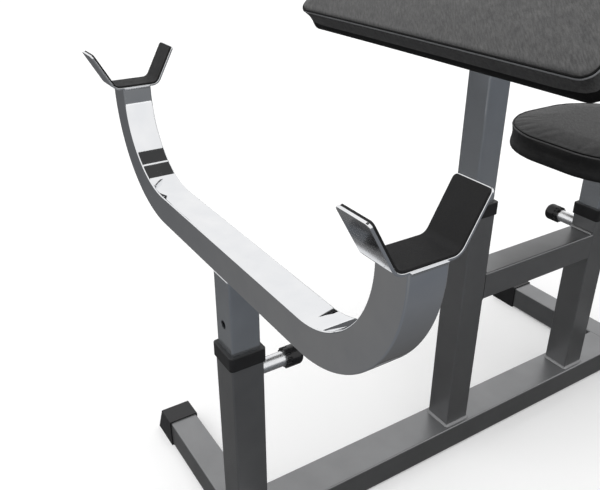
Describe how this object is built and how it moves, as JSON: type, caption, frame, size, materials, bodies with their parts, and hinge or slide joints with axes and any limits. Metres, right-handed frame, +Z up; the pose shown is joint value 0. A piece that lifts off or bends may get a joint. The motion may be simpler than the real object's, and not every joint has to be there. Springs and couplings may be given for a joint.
{
  "type": "preacher curl bench",
  "caption": "Welded curl bench with a sliding U-shaped barbell rest, a sloping arm pad and a rounded seat, each set in height by a sprung pull pin.",
  "frame": {"origin": "on the floor under the middle of the overall length and width", "axes": "+Z up, +Y from the barbell rest towards the seat, +X to the right for a viewer in front of the barbell rest who looks along +Y"},
  "size_m": [0.859, 1.209, 1.1591],
  "materials": {
    "frame_paint": "satin",
    "slide_paint": "satin",
    "black_plastic": "satin",
    "chrome": "polished",
    "liner_rubber": "matte",
    "vinyl": "satin",
    "plywood": "matte",
    "knob_plastic": "gloss",
    "steel": "satin"
  },
  "bodies": {
    "frame": {"base_rail": "frame_paint", "front_foot_tube": "frame_paint", "rear_foot_tube": "frame_paint", "front_left_foot_cap": "black_plastic", "front_right_foot_cap": "black_plastic", "rear_left_foot_cap": "black_plastic", "rear_right_foot_cap": "black_plastic", "rest_post": "frame_paint", "pad_post": "frame_paint", "seat_post": "frame_paint", "seat_beam": "frame_paint", "frame_weld_beads": "frame_paint", "rest_collar": "black_plastic", "pad_collar": "black_plastic", "seat_collar": "black_plastic", "rest_pin_boss": "steel", "rest_pin_barrel": "chrome", "rest_pin_end_plug": "steel", "rest_pin_spring": "steel", "pad_pin_boss": "steel", "pad_pin_barrel": "chrome", "pad_pin_end_plug": "steel", "pad_pin_spring": "steel", "seat_pin_boss": "steel", "seat_pin_barrel": "chrome", "seat_pin_end_plug": "steel", "seat_pin_spring": "steel"},
    "bar_rest": {"rest_slide_tube": "slide_paint", "rest_slide_plug": "black_plastic", "rest_bar": "chrome", "rest_weld_beads": "chrome", "left_cradle": "chrome", "right_cradle": "chrome", "left_cradle_liner": "liner_rubber", "right_cradle_liner": "liner_rubber"},
    "arm_pad": {"pad_slide_tube": "slide_paint", "pad_slide_plug": "black_plastic", "pad_plate": "slide_paint", "pad_gussets": "slide_paint", "pad_board": "plywood", "pad_cushion": "vinyl", "pad_bolts": "steel", "pad_washers": "steel", "pad_tee_nuts": "steel"},
    "seat": {"seat_slide_tube": "slide_paint", "seat_slide_plug": "black_plastic", "seat_plate": "slide_paint", "seat_board": "plywood", "seat_cushion": "vinyl", "seat_bolts": "steel", "seat_washers": "steel", "seat_tee_nuts": "steel"},
    "rest_pin": {"rest_pin_plunger": "steel", "rest_pin_knob": "knob_plastic"},
    "pad_pin": {"pad_pin_plunger": "steel", "pad_pin_knob": "knob_plastic"},
    "seat_pin": {"seat_pin_plunger": "steel", "seat_pin_knob": "knob_plastic"}
  },
  "joints": [
    {"name": "rest_height", "type": "slide", "parent": "frame", "child": "bar_rest", "axis": [0, 0, 1], "range_m": [-0.11, 0.165]},
    {"name": "pad_height", "type": "slide", "parent": "frame", "child": "arm_pad", "axis": [0, 0, 1], "range_m": [-0.055, 0.165]},
    {"name": "seat_height", "type": "slide", "parent": "frame", "child": "seat", "axis": [0, 0, 1], "range_m": [-0.11, 0.055]},
    {"name": "rest_pin_pull", "type": "slide", "parent": "frame", "child": "rest_pin", "axis": [0, 1, 0], "range_m": [-0.014, 0], "deforming": ["rest_pin_spring"]},
    {"name": "pad_pin_pull", "type": "slide", "parent": "frame", "child": "pad_pin", "axis": [0, -1, 0], "range_m": [-0.014, 0], "deforming": ["pad_pin_spring"]},
    {"name": "seat_pin_pull", "type": "slide", "parent": "frame", "child": "seat_pin", "axis": [-1, 0, 0], "range_m": [-0.014, 0], "deforming": ["seat_pin_spring"]}
  ]
}
